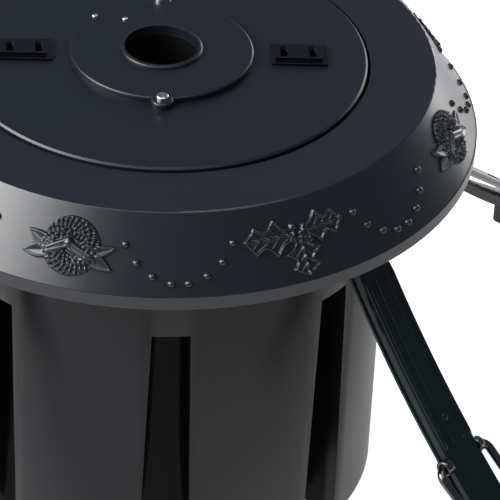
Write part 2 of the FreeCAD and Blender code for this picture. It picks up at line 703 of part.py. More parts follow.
def routed(start, heading, moves, radius):
    """Round cord made of straight runs and bends, and the place where it ends.

    A move is (length, 0, None) or (bend radius, degrees, turning axis).
    """
    here = FreeCAD.Vector(start)
    runs = []
    for size, degrees, axis in moves:
        profile = Part.Face(Part.Wire([Part.Circle(here, heading, radius).toShape()]))
        if degrees == 0:
            runs.append(profile.extrude(heading * size))
            here = here + heading * size
            continue
        centre = here + axis.cross(heading) * size
        runs.append(profile.revolve(centre, axis, degrees))
        spin = FreeCAD.Rotation(axis, degrees)
        here = centre + spin.multVec(here - centre)
        heading = spin.multVec(heading)
    return runs[0].fuse(runs[1:]), here


def cord_route():
    """Down inside the drum, out through its wall, down to the floor and round a flat coil to the plug."""
    out = cord_point(1, 0)
    down = V(0, 0, -1)
    to_out = down.cross(out)
    to_down = out.cross(down)
    lift_bend = 8.0
    lift_angle = math.degrees(math.acos(1 - (PLUG_Z - COIL_Z) / (2 * lift_bend)))
    moves = [
        (CORD_TOP_Z - CORD_EXIT_Z - CORD_BEND, 0, None), (CORD_BEND, 90, to_out),
        (CORD_RUN, 0, None), (CORD_DROP_BEND, 90, to_down), (CORD_FLOOR_BEND, 90, to_out),
    ]
    moves += [(COIL_R - COIL_PITCH * half_turn / 2, 180, down) for half_turn in range(5)]
    moves += [
        (COIL_R - COIL_PITCH * 2.5, 70, down), (14.0, 110, down),
        (lift_bend, lift_angle, to_out), (lift_bend, lift_angle, to_down), (PLUG_GRIP, 0, None),
    ]
    return routed(cord_point(BRUSH_R, CORD_TOP_Z), down, moves, CORD_R)


CORD, CORD_END = cord_route()


def at_plug(shape):
    """Move a shape drawn along +Y so that its origin is where the plug's neck starts."""
    neck = CORD_END - cord_point(PLUG_GRIP, 0)
    return placed(turned(shape, CORD_AZIMUTH - 90), neck.x, neck.y, PLUG_Z)


def plug_body():
    shell = rounded(box(-11, 11, 11, 29, -7, 7), 3.0, lambda edge: edge.BoundBox.YLength > 10)
    neck = Part.makeCone(4.2, 6.5, 12, ORIGIN, V(0, 1, 0))
    body = shell.fuse(neck)
    body = body.cut(Part.makeCylinder(CORD_R + LOOSE, PLUG_GRIP + 1, V(0, -1, 0), V(0, 1, 0)))
    for side in (-1, 1):
        x = side * BLADE_SPACING / 2
        body = body.cut(box(x - 0.85, x + 0.85, 21, 30, -3.2, 3.2))
    return at_plug(body)


def plug_blade(side):
    x = side * BLADE_SPACING / 2
    return at_plug(box(x - 0.75, x + 0.75, 21.1, 45, -3.1, 3.1))


def cord_grip():
    """Flanged strain relief in the drum wall."""
    barrel = Part.makeCylinder(6.0, 11, V(DRUM_R - 5, 0, CORD_EXIT_Z), V(1, 0, 0))
    flange = Part.makeCylinder(7.5, 2.5, V(DRUM_R + 0.8, 0, CORD_EXIT_Z), V(1, 0, 0))
    nut = Part.makeCylinder(7.5, 2.5, V(DRUM_R - 7.2, 0, CORD_EXIT_Z), V(1, 0, 0))
    grip = barrel.fuse([flange, nut])
    bore = Part.makeCylinder(CORD_R + 0.6, 30, V(DRUM_R - 15, 0, CORD_EXIT_Z), V(1, 0, 0))
    return turned(grip.cut(bore), CORD_AZIMUTH)


def cord_tie():
    """Flat band around the three strands of the coil."""
    coil_start_r = BRUSH_R + CORD_BEND + CORD_RUN + CORD_DROP_BEND + CORD_FLOOR_BEND
    x, y = polar(coil_start_r, CORD_AZIMUTH)
    dx, dy = polar(COIL_R, CORD_AZIMUTH - 90)
    outer = COIL_R + CORD_R + 1.2
    inner = COIL_R - 2 * COIL_PITCH - CORD_R - 1.2
    band = box(inner, outer, -2.5, 2.5, 0.1, COIL_Z + CORD_R + 1.0)
    band = band.cut(box(inner + 0.7, outer - 0.7, -5, 5, 0.7, COIL_Z + CORD_R + 0.4))
    return placed(turned(band, CORD_AZIMUTH), x + dx, y + dy, 0)


# ---- build every node ----
os.makedirs("parts", exist_ok=True)

export("rim_cover", rim_cover())
export("drum", drum())
export("base_plate", base_plate())
export("upper_bush", bush(DECK_Z - 15.5, DECK_Z, DECK_Z - 15.5, DECK_Z - 14.1))
export("lower_bush", bush(BASE_Z[1] + 0.1, 55.5, 54.1, 55.5))
export("leg_frame", leg_frame())
export("hinge_pins", *[turned(hinge_pin(), azimuth) for azimuth in LEG_AZIMUTHS.values()])

LEG = leg()
FOOT = foot()
STAY = stay()
for name, azimuth in LEG_AZIMUTHS.items():
    export("leg_" + name, turned(LEG, azimuth))
    export("foot_" + name, turned(FOOT, azimuth))
    export("stay_" + name, turned(STAY, azimuth))

export("turntable_disc", turntable_disc())
export("hub_cover", hub_cover())
export("hub_flange", hub_flange())
export("hub_rivets", *[hub_rivet(x, y) for x, y in HUB_RIVETS])
export("pole_tube", ring(POLE_R, TUBE_R, TUBE_BOTTOM_Z, TUBE_TOP_Z))
export("pole_stop", pole_stop())
HOUSING = outlet_housing()
export("outlet_right", table_turned(HOUSING))
export("outlet_left", table_turned(turned(HOUSING, 180)))
CONTACTS = [outlet_contact(radius) for radius in OUTLET_SLOTS_R]
export("outlet_contacts", *[table_turned(turned(clip, azimuth)) for clip in CONTACTS for azimuth in (0, 180)])
export("outlet_leads", *[outlet_lead(azimuth, side) for azimuth in (0, 180) for side in (-3, 3)])
export("slip_ring_carrier", slip_ring_carrier())
export("slip_rings", *[ring(inner, outer, *RING_Z) for inner, outer in SLIP_RINGS])
export("drive_gear", drive_gear())
export("upper_race", bearing_race(BALL_Z + 1.6, FLANGE_Z[0]))

export("lower_race", bearing_race(DECK_Z, BALL_Z - 1.6))
export("ball_cage", ball_cage())
export("bearing_balls", *[Part.makeSphere(BALL_R, V(x, y, BALL_Z)) for x, y in ball_places()])

export("brush_block", brush_block())
export("brush_leaves", *[brush_leaf((inner + outer) / 2) for inner, outer in SLIP_RINGS])
export("motor_case", motor_case())
export("motor_cover", motor_cover())
export("motor_shaft", cyl(MOTOR_SHAFT_R, MOTOR_Z[0] + 4, GEAR_Z[1] + 2, *motor_centre()))
export("motor_output_wheel", motor_output_wheel())
export("motor_pinion", motor_pinion())
export("motor_leads", *motor_leads())

export("power_cord", CORD)
export("cord_grip", cord_grip())
export("cord_tie", cord_tie())
export("plug_body", plug_body())
export("plug_blades", *[plug_blade(side) for side in (-1, 1)])

HUB_SCREW = pan_screw(2.75, 1.8, 1.6, 12)
hub_screw_places = [polar(HUB_SCREW_R, azimuth) for azimuth in (90, 270)]
export("hub_screws", *[table_turned(placed(HUB_SCREW, x, y, HUB_Z)) for x, y in hub_screw_places])
CAP_SCREW = pan_screw(3.4, 2.2, 1.5, 14)
cap_screw_places = [polar(CAP_SCREW_R, azimuth) for azimuth in CAP_SCREW_AZIMUTHS]
export("cap_screws", *[placed(CAP_SCREW, x, y, DECK_Z - DRUM_WALL, True) for x, y in cap_screw_places])
FRAME_SCREW = pan_screw(4.0, 2.4, 2.0, 15)
frame_screw_places = [polar(FRAME_SCREW_R, azimuth) for azimuth in LEG_AZIMUTHS.values()]
export("frame_screws", *[placed(FRAME_SCREW, x, y, FRAME_Z[1]) for x, y in frame_screw_places])
base_screw_places = [polar(BASE_POST_R, azimuth) for azimuth in BASE_POST_AZIMUTHS]
export("base_screws", *[placed(CAP_SCREW, x, y, BASE_Z[0], True) for x, y in base_screw_places])
MOTOR_SCREW = pan_screw(3.0, 2.0, 1.5, 12)
export("motor_screws", *[placed(MOTOR_SCREW, x, y, MOTOR_Z[1] - 2, True) for x, y in motor_ears()])
BRUSH_SCREW = pan_screw(1.8, 1.4, 1.2, 13)
brush_screws = [placed(BRUSH_SCREW, BRUSH_R, side * BRUSH_SCREW_OFFSET, DECK_Z + 9) for side in (-1, 1)]
export("brush_screws", *[turned(screw, CORD_AZIMUTH) for screw in brush_screws])
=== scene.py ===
import json
import math

import bmesh
import bpy
import numpy as np
from mathutils import Euler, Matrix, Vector

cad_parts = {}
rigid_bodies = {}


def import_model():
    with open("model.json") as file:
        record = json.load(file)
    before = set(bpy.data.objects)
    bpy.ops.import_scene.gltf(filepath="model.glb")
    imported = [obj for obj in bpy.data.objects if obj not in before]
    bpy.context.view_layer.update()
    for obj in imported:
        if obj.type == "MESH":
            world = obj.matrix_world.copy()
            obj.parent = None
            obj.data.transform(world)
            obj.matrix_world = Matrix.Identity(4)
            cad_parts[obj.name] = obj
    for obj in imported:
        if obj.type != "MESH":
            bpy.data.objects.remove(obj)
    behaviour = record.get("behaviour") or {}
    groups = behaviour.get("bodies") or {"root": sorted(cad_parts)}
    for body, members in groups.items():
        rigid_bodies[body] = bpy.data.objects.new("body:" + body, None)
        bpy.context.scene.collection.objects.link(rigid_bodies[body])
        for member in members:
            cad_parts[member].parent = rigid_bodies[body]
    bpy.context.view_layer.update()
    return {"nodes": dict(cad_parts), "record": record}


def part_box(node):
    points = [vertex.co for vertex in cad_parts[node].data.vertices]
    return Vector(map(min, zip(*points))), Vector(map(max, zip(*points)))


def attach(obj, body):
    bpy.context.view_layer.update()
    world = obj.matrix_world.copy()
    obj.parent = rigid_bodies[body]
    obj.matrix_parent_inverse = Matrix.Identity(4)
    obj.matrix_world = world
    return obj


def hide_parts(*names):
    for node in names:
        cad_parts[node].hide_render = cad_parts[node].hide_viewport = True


# Looks for the rotating tree stand. Metres, +Z up, -Y is the front.
# Front angles turn from -Y towards +X: in radians on the rim, in degrees for the lights and the camera.

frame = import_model()
NODES = frame["nodes"]
MM = 0.001
LEG_NAMES = ("back_right", "back_left", "front_left", "front_right")
LEG_AZIMUTHS = (45, 135, 225, 315)

# ---- section of the cap's sloping rim, in millimetres ----
CAP_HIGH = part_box("rim_cover")[1]
CAP_TOP_Z = CAP_HIGH.z / MM
CAP_R = CAP_HIGH.x / MM
LIP_OVERHANG = 0.5
SLOPE_RUN = 20.0
SLOPE_DROP = 29.4
SLOPE_TOP_R = CAP_R - SLOPE_RUN - LIP_OVERHANG
SLOPE_LENGTH = math.hypot(SLOPE_RUN, SLOPE_DROP)

# ---- relief on the slope, in millimetres ----
MOTIFS = 4
MOTIF_PITCH = 2 * math.pi / MOTIFS
WREATH_ANGLE = math.radians(-19.8)
WREATH_HALF_SIZE = (21.5, 14.0)
HOLLY_HALF_SIZE = (27.0, 17.2)
RELIEF_STEP = 0.36
RELIEF_SINK = 0.3
RELIEF_CUT = 0.25
RIDGE_FALL = 1.2
LEAF_FALL = 1.5
RING_R = 8.0
RING_HALF_WIDTH = 4.6
RING_ROW_R = 7.6
RING_OUTER_R = 12.0
BERRY_R = 1.75
BEAD_R = 1.6
BEAD_TURNS = 14
# radius and height of the bead's rings, as shares of BEAD_R
BEAD_PROFILE = ((1.25, -0.25), (1.05, 0.05), (0.98, 0.35), (0.82, 0.62), (0.55, 0.84), (0.25, 0.95))
BEAD_TOP = 0.97
# degrees either side of a swag's middle and share of the slope's length below its top
SWAG_BEADS = ((1.5, 0.84), (4.8, 0.76), (7.7, 0.61), (9.9, 0.40))

# ---- bow of the legs, in millimetres: radius from the turning axis and height ----
HINGE = (116.0, 196.5)
TOE = (312.0, 7.0)
LEG_BOW_R = 560.0
LEG_CHORD = math.dist(HINGE, TOE)
BOW_REACH = math.sqrt(LEG_BOW_R ** 2 - LEG_CHORD ** 2 / 4)
BOW_CENTRE = ((HINGE[0] + TOE[0]) / 2 + (HINGE[1] - TOE[1]) / LEG_CHORD * BOW_REACH,
              (HINGE[1] + TOE[1]) / 2 + (TOE[0] - HINGE[0]) / LEG_CHORD * BOW_REACH)
LEG_FACE = 3.25
RIB_START_R = 124.0
RIB_END_R = 176.0
RIB_SINK = 0.3
RIB_STEPS = 70
RIB_TURNS = 8
# each rib's place across the leg, half width and height
EDGE_RIB = (8.3, 1.1, 1.2)
INNER_RIB = (3.2, 0.9, 0.62)

# ---- collars where the wire stays pass through the legs' walls, in millimetres ----
STAY_PIVOT = (180.0, 112.3)
# radius about the pivot and distance from the leg's middle plane
COLLAR_SECTION = ((2.35, 9.6), (2.35, 13.0), (3.0, 13.3), (3.6, 12.9), (3.8, 12.2), (3.8, 10.6),
                  (4.3, 9.6))
COLLAR_TURNS = 28

# ---- rounded copies of CAD nodes: roundings in millimetres, angles in degrees, weld distance in metres ----
DRUM_ROUNDING = 0.7
SHOE_ROUNDING = 0.4
SHARP_ANGLE = 34
FLAT_ANGLE = 0.6
WELD_DISTANCE = 2e-6

# ---- studio ----
FLOOR_HALF = 6.0
PAPER_DARK = (0.42, 0.42, 0.42)
PAPER_LIGHT = (0.44, 0.44, 0.44)
PAPER_SCALE = 1.5
FLOOR_GLOW = 0.5
FLOOR_GLOW_SEEN = 0.95
WHITE = (1.0, 1.0, 1.0)
REFLECTED_GREY = (0.165, 0.20, 0.25)
LIGHT_AIM = (0.0, 0.0, 0.2)

# ---- camera: angles in degrees, lens in millimetres, places in metres ----
CAMERA_LENS = 252.2
SENSOR_WIDTH = 36.0
CAMERA_FAR = 50.0
CAMERA_ANGLE = -4.5
CAMERA_ELEVATION = 31.9
CAMERA_DISTANCE = 1.556
CAMERA_AIM = (0.0436, -0.0034, 0.1368)
CAMERA_ROLL = 2.95

# ---- materials: scales per metre, depths in metres ----
EDGE_WEAR_REACH = 0.0006
# cosine between a face and its surroundings, at which an edge is fully rubbed and not rubbed at all
EDGE_WEAR_FULL = 0.75
EDGE_WEAR_NONE = 0.98
CLOUD_SCALE = 14.0
PATCH_SCALE = 55.0
DUST_COLOR = (0.33, 0.35, 0.38)
# reflection level in a recess's depths, turned down as painted shade, and outside it, with the width of the
# change
SHADED_RECESS_SHEEN = 0.04
OUTER_SHEEN = 0.27
RECESS_SOFT = 0.003


# ---- shader helpers ----
def add_node(tree, kind, inputs=None, **settings):
    """Add a shader node; an input is a value or another node's output socket."""
    made = tree.nodes.new(kind)
    for key, value in settings.items():
        setattr(made, key, value)
    for key, value in (inputs or {}).items():
        socket = made.inputs[key]
        if isinstance(value, bpy.types.NodeSocket):
            tree.links.new(value, socket)
        else:
            socket.default_value = value
    return made


def noise(tree, place, scale, detail=4.0, stretch=(1.0, 1.0, 1.0)):
    mapping = add_node(tree, "ShaderNodeMapping", {"Vector": place, "Scale": stretch})
    made = add_node(tree, "ShaderNodeTexNoise",
                    {"Vector": mapping.outputs[0], "Scale": scale, "Detail": detail})
    return made.outputs["Fac"]


def ranged(tree, value, low, high, from_low=0.3, from_high=0.7):
    made = add_node(tree, "ShaderNodeMapRange", {"Value": value, "From Min": from_low, "From Max": from_high,
                                                 "To Min": low, "To Max": high})
    return made.outputs["Result"]


def mixed(tree, amount, first, second):
    """Colour between two colours; sockets 0, 6 and 7 are the mix node's factor and its two colours."""
    made = add_node(tree, "ShaderNodeMix", data_type="RGBA")
    for socket, value in zip((made.inputs[0], made.inputs[6], made.inputs[7]), (amount, first, second)):
        if isinstance(value, bpy.types.NodeSocket):
            tree.links.new(value, socket)
        else:
            socket.default_value = value
    return made.outputs[2]


def times(tree, first, second):
    made = add_node(tree, "ShaderNodeMath", {0: first, 1: second}, operation="MULTIPLY")
    return made.outputs[0]


def rgba(color, gain=1.0):
    return (color[0] * gain, color[1] * gain, color[2] * gain, 1.0)


def finish(name, color, rough, spread=0.05, mottle=0.12, grain=2200.0, grain_depth=0.00002, wave=60.0,
           wave_depth=0.0, wear=0.25, wear_color=(0.25, 0.25, 0.26), dust=0.0, stretch=(1.0, 1.0, 1.0),
           shade_inside=0.0, **surface):
    """A moulded, painted or metal surface with mottled colour, uneven gloss, fine grain and rubbed edges.

    Nearer the axis than shade_inside, in metres, the surface reflects far less: painted shade for the depths
    of a recess.
    Further keywords set the shader's inputs of those names.
    """
    made = bpy.data.materials.new(name)
    made.use_nodes = True
    tree = made.node_tree
    tree.nodes.clear()
    place = add_node(tree, "ShaderNodeTexCoord").outputs["Object"]
    cloud = noise(tree, place, CLOUD_SCALE, 6.0)
    patch = noise(tree, place, PATCH_SCALE, 5.0)
    fine = noise(tree, place, grain, 2.0, stretch)
    base = mixed(tree, ranged(tree, cloud, 0.0, 1.0), rgba(color, 1 - mottle), rgba(color, 1 + mottle))
    geometry = add_node(tree, "ShaderNodeNewGeometry")
    soft = add_node(tree, "ShaderNodeBevel", {"Radius": EDGE_WEAR_REACH}, samples=4)
    match = add_node(tree, "ShaderNodeVectorMath", {0: soft.outputs[0], 1: geometry.outputs["Normal"]},
                     operation="DOT_PRODUCT").outputs["Value"]
    edge = ranged(tree, match, 1.0, 0.0, EDGE_WEAR_FULL, EDGE_WEAR_NONE)
    rubbed = times(tree, edge, ranged(tree, patch, 0.0, wear, 0.35, 0.65))
    base = mixed(tree, rubbed, base, rgba(wear_color))
    if dust:
        upward = add_node(tree, "ShaderNodeSeparateXYZ", {0: geometry.outputs["Normal"]}).outputs[2]
        film = times(tree, ranged(tree, upward, 0.0, dust, 0.2, 1.0), ranged(tree, cloud, 0.4, 1.0))
        base = mixed(tree, film, base, rgba(DUST_COLOR))
    gloss = ranged(tree, patch, rough - spread, rough + spread)
    shaded_sheen = None
    if shade_inside:
        # painted shade: reflection turned down nearer the axis than shade_inside
        flat = add_node(tree, "ShaderNodeVectorMath", {0: place, 1: (1.0, 1.0, 0.0)}, operation="MULTIPLY")
        from_axis = add_node(tree, "ShaderNodeVectorMath", {0: flat.outputs[0]}, operation="LENGTH")
        shaded_sheen = ranged(tree, from_axis.outputs["Value"], SHADED_RECESS_SHEEN, OUTER_SHEEN,
                       shade_inside - RECESS_SOFT, shade_inside)
    bump = add_node(tree, "ShaderNodeBump", {"Height": fine, "Distance": grain_depth, "Strength": 1.0})
    if wave_depth:
        swell = noise(tree, place, wave, 2.0)
        bump = add_node(tree, "ShaderNodeBump", {"Height": swell, "Distance": wave_depth, "Strength": 1.0,
                                                 "Normal": bump.outputs[0]})
    inputs = {"Base Color": base, "Roughness": gloss, "Normal": bump.outputs[0]}
    inputs.update({key.replace("_", " "): value for key, value in surface.items()})
    if shaded_sheen:
        inputs["Specular IOR Level"] = shaded_sheen
    shader = add_node(tree, "ShaderNodeBsdfPrincipled", inputs)
    add_node(tree, "ShaderNodeOutputMaterial", {"Surface": shader.outputs[0]})
    return made


# ---- finishes by material slot ----
FINISHES = {
    "black_plastic": finish(
        "satin_black_moulding", (0.0052, 0.0064, 0.0082), rough=0.29, spread=0.004, mottle=0.02,
        wave=40.0, wave_depth=0.00001, wear=0.10, dust=0.001, IOR=1.5),
    # the drum's pockets get painted shade through shade_inside: weaker reflection inside the drum wall
    "drum_plastic": finish(
        "drum_moulding", (0.0034, 0.0038, 0.0049), rough=0.28, spread=0.003, mottle=0.03,
        wave=26.0, wave_depth=0.00001, wear=0.08, shade_inside=0.1012, IOR=1.46),
    "table_plastic": finish(
        "turntable_moulding", (0.0042, 0.0056, 0.0076), rough=0.36, spread=0.003, mottle=0.015,
        wave=38.0, wave_depth=0.000005, wear=0.10, dust=0.0006, IOR=1.47, Specular_IOR_Level=0.36),
    "outlet_plastic": finish(
        "outlet_moulding", (0.0010, 0.0010, 0.0011), rough=0.20, spread=0.02, mottle=0.1,
        grain_depth=0.000005, wear=0.05, Specular_IOR_Level=0.3),
    "leg_enamel": finish(
        "leg_enamel", (0.0034, 0.0076, 0.0076), rough=0.22, spread=0.03, mottle=0.15,
        grain=700.0, grain_depth=0.00001, wave=90.0, wave_depth=0.00004, wear=0.12, IOR=1.45,
        Specular_Tint=(0.5, 0.5, 0.5, 1.0)),
    "wire_enamel": finish(
        "wire_enamel", (0.003, 0.0035, 0.004), rough=0.10, spread=0.03,
        grain=900.0, wave=160.0, wave_depth=0.0001, wear=0.1, Coat_Weight=1.0, Coat_Roughness=0.04),
    "shoe_rubber": finish(
        "shoe_rubber", (0.009, 0.009, 0.0095), rough=0.72, spread=0.08,
        grain=1500.0, grain_depth=0.00008, wear=0.4, wear_color=(0.12, 0.12, 0.12), dust=0.05),
    "zinc_screws": finish(
        "zinc_plate", (0.66, 0.66, 0.63), rough=0.28, spread=0.08, mottle=0.15,
        grain=1200.0, wear=0.4, wear_color=(0.85, 0.85, 0.83), Metallic=1.0),
    "steel": finish(
        "ground_steel", (0.42, 0.42, 0.43), rough=0.32, spread=0.08,
        grain=900.0, grain_depth=0.00002, stretch=(1.0, 1.0, 14.0),
        wear=0.3, wear_color=(0.6, 0.6, 0.6), Metallic=1.0),
    "motor_metal": finish(
        "motor_can", (0.52, 0.52, 0.50), rough=0.38, spread=0.08, mottle=0.2,
        grain=900.0, wear=0.3, wear_color=(0.7, 0.7, 0.7), Metallic=1.0),
    "nylon": finish(
        "natural_nylon", (0.68, 0.66, 0.58), rough=0.48, spread=0.06, mottle=0.06,
        grain=1300.0, wear=0.2, wear_color=(0.8, 0.8, 0.76), Subsurface_Weight=0.1),
    "brass": finish(
        "bright_brass", (0.72, 0.50, 0.20), rough=0.25, spread=0.07,
        grain=1500.0, wear=0.3, wear_color=(0.9, 0.72, 0.40), Metallic=1.0),
    "cord_pvc": finish(
        "cord_sheath", (0.008, 0.008, 0.009), rough=0.46, spread=0.06,
        grain=1600.0, grain_depth=0.00004, wave=120.0, wave_depth=0.0001, wear=0.15, dust=0.02),
}
# black enamel for the pole tube, made extra dark and dull as painted shade for the depths of the pole socket
SHADED_TUBE_FINISH = finish(
    "tube_enamel", (0.0016, 0.0017, 0.0019), rough=0.42, spread=0.04, mottle=0.1,
    grain=700.0, wear=0.1, IOR=1.45, Specular_IOR_Level=0.25)


def dress_cad_nodes():
    """Give every CAD node the finish of its material slot, and the pole tube a darker, duller one of its own:
    black enamel with painted shade, so the pole socket shows black.
    """
    for entry in frame["record"]["subparts"]:
        node = entry["node"]
        slots = NODES[node].data.materials
        slots.clear()
        slots.append(SHADED_TUBE_FINISH if node == "pole_tube" else FINISHES[entry["material_slot"]])


# ---- mesh helpers ----
def new_piece(name, points, faces, slot, body):
    """A smooth-shaded mesh that rides one body."""
    mesh = bpy.data.meshes.new(name)
    mesh.from_pydata([tuple(p) for p in points], [], [tuple(f) for f in faces])
    mesh.validate()
    mesh.polygons.foreach_set("use_smooth", [True] * len(mesh.polygons))
    mesh.materials.append(FINISHES[slot])
    piece = bpy.data.objects.new(name, mesh)
    bpy.context.scene.collection.objects.link(piece)
    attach(piece, body)
    return piece


def softened(name, node, slot, body, width):
    """A copy of a CAD node with its sharp edges rounded, shown in place of the node."""
    mesh = NODES[node].data.copy()
    shape = bmesh.new()
    shape.from_mesh(mesh)
    bmesh.ops.remove_doubles(shape, verts=shape.verts, dist=WELD_DISTANCE)
    bmesh.ops.dissolve_limit(shape, angle_limit=math.radians(FLAT_ANGLE), verts=shape.verts,
                             edges=shape.edges)
    shape.to_mesh(mesh)
    shape.free()
    rough = bpy.data.objects.new(name + "_rough", mesh)
    bpy.context.scene.collection.objects.link(rough)
    bevel = rough.modifiers.new("edges", "BEVEL")
    bevel.width = width * MM
    bevel.segments = 2
    bevel.limit_method = "ANGLE"
    bevel.angle_limit = math.radians(SHARP_ANGLE)
    bpy.context.view_layer.update()
    result = bpy.data.meshes.new_from_object(rough.evaluated_get(bpy.context.evaluated_depsgraph_get()))
    bpy.data.objects.remove(rough)
    result.name = name
    result.materials.clear()
    result.materials.append(FINISHES[slot])
    result.polygons.foreach_set("use_smooth", [True] * len(result.polygons))
    piece = bpy.data.objects.new(name, result)
    bpy.context.scene.collection.objects.link(piece)
    smooth_by_angle(result, SHARP_ANGLE)
    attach(piece, body)
    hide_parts(node)
    return piece


def smooth_by_angle(mesh, angle):
    """Mark edges sharper than the angle as sharp, so that flat faces stay flat."""
    shape = bmesh.new()
    shape.from_mesh(mesh)
    limit = math.radians(angle)
    for edge in shape.edges:
        edge.smooth = len(edge.link_faces) == 2 and edge.calc_face_angle(0.0) < limit
    shape.to_mesh(mesh)
    shape.free()


def replace_sharp_nodes():
    """Rounded-edge copies of the drum and the rubber feet."""
    softened("drum_shell", "drum", "drum_plastic", "base", DRUM_ROUNDING)
    for name in LEG_NAMES:
        softened("shoe_" + name, "foot_" + name, "shoe_rubber", "leg_" + name, SHOE_ROUNDING)


# ---- relief on the sloping rim ----
def on_slope(across, up, height, front_angle):
    """Points on the slope: across to the right, up from its middle, and height off it, in millimetres."""
    share = 0.5 - up / SLOPE_LENGTH
    radius = SLOPE_TOP_R + SLOPE_RUN * share
    angle = front_angle + across / (SLOPE_TOP_R + SLOPE_RUN / 2)
    radius = radius + height * SLOPE_DROP / SLOPE_LENGTH
    z = CAP_TOP_Z - SLOPE_DROP * share + height * SLOPE_RUN / SLOPE_LENGTH
    return np.stack([radius * np.sin(angle), -radius * np.cos(angle), z], axis=-1) * MM


def relief(name, heights, half_size, front_angle):
    """Raised motif from a height function; it dives below the slope at its outline."""
    across, up = np.meshgrid(*[np.arange(-half, half + RELIEF_STEP, RELIEF_STEP) for half in half_size])
    height = heights(across, up)
    rows, columns = height.shape
    points = on_slope(across, up, np.clip(height, -RELIEF_SINK, None), front_angle).reshape(-1, 3)
    index = np.arange(rows * columns).reshape(rows, columns)
    quads = np.stack([index[:-1, :-1], index[:-1, 1:], index[1:, 1:], index[1:, :-1]], axis=-1).reshape(-1, 4)
    raised = height.reshape(-1)[quads].max(axis=1) > -RELIEF_CUT
    quads = quads[raised]
    used, packed = np.unique(quads, return_inverse=True)
    return new_piece(name, points[used], packed.reshape(-1, 4), "black_plastic", "base")


def bump_up(distance, width, height):
    """Rounded ridge; distance is from its middle line."""
    inside = np.clip(1 - (distance / width) ** 2, 0, None)
    return np.where(distance < width, height * np.sqrt(inside), (width - distance) * RIDGE_FALL)


def crease(distance, width, height):
    """Narrow swelling that fades on both sides of its middle line."""
    return height * np.exp(-(distance / width) ** 2)


def blade_edge(gap, height, steepness):
    """Blade that slopes down to its outline; gap is the distance inside the outline."""
    return np.where(gap > 0, np.minimum(height, 0.2 + gap * steepness), gap * LEAF_FALL)


def turn(across, up, at, degrees):
    """Coordinates along and across a direction from a start point."""
    angle = math.radians(degrees)
    x = across - at[0]
    y = up - at[1]
    return x * math.cos(angle) + y * math.sin(angle), -x * math.sin(angle) + y * math.cos(angle)


def stroke(across, up, start, end, width_start, width_end, height):
    """Rounded, tapering bar between two points."""
    length = math.dist(start, end)
    direction = math.degrees(math.atan2(end[1] - start[1], end[0] - start[0]))
    along, side = turn(across, up, start, direction)
    share = np.clip(along / length, 0, 1)
    distance = np.hypot(along - share * length, side)
    width = width_start + (width_end - width_start) * share
    return bump_up(distance, width, height)


def holly_leaf(across, up, at, degrees, length, half_width):
    """Spiked leaf with a raised rim, a midrib and side veins."""
    along, side = turn(across, up, at, degrees)
    share = np.clip(along / length, 0, 1)
    lobes = 1 - 0.5 * np.abs(np.sin(math.pi * 2.5 * (share + 0.02)))
    outline = half_width * np.sin(math.pi * share ** 0.85) ** 0.55 * lobes + 0.25
    gap = outline - np.abs(side)
    past_end = np.maximum(along - length, -along)
    gap = np.minimum(gap, -past_end + 0.3)
    vein = np.abs((along - np.abs(side) * 0.9) % (length / 5) - length / 10)
    blade = 0.35 + crease(gap - 0.75, 0.62, 1.15) + crease(side, 0.55, 1.05) + crease(vein, 0.42, 0.5)
    return blade_edge(gap, blade, 2.6)


def berry(across, up, at):
    return bump_up(np.hypot(across - at[0], up - at[1]), BERRY_R, BERRY_R * 0.95)


def holly(across, up):
    """Three leaves around a cluster of berries."""
    shapes = [
        holly_leaf(across, up, (-1.5, 2.6), 180, 23.0, 8.2),
        holly_leaf(across, up, (2.0, 3.6), 1, 20.5, 7.4),
        holly_leaf(across, up, (1.0, 1.6), -88, 17.5, 8.4),
    ]
    for place in ((-1.6, 5.9), (-2.4, 1.3), (1.6, 2.6), (5.2, -0.6)):
        shapes.append(berry(across, up, place))
    return np.max(shapes, axis=0)


def wreath_ring(across, up):
    """Flattened ring of slanting needles in two rows."""
    radius = np.hypot(across, up)
    angle = np.arctan2(up, across)
    body = bump_up(np.abs(radius - RING_R), RING_HALF_WIDTH, 1.7)
    outer_row = 0.62 * np.cos(angle * 30 + radius * 1.1) + 0.25 * np.cos(angle * 13 - radius * 2.3)
    inner_row = 0.55 * np.cos(angle * 19 - radius * 1.3) + 0.22 * np.cos(angle * 11 + radius * 2.0)
    needles = np.where(radius > RING_ROW_R, outer_row, inner_row)
    rim = crease(radius - RING_ROW_R, 0.4, 0.5) + crease(radius - RING_OUTER_R, 0.45, 0.4)
    return np.where(body > 0, body + needles * np.clip(body, 0, 1) + rim, body)


def ribbon_tail(across, up, start, tip, half_width, height):
    """Pointed tail with a fold along its middle."""
    length = math.dist(start, tip)
    direction = math.degrees(math.atan2(tip[1] - start[1], tip[0] - start[0]))
    along, side = turn(across, up, start, direction)
    share = np.clip(along / length, 0, 1)
    outline = half_width * (1 - share ** 3.0) * (0.75 + 0.5 * np.sin(math.pi * share))
    gap = np.minimum(outline - np.abs(side), np.minimum(along + 0.5, length - along))
    fold = height * (0.55 + 0.45 * np.abs(side / half_width)) + crease(gap - 0.4, 0.45, 0.5)
    return blade_edge(gap, fold, 2.4)


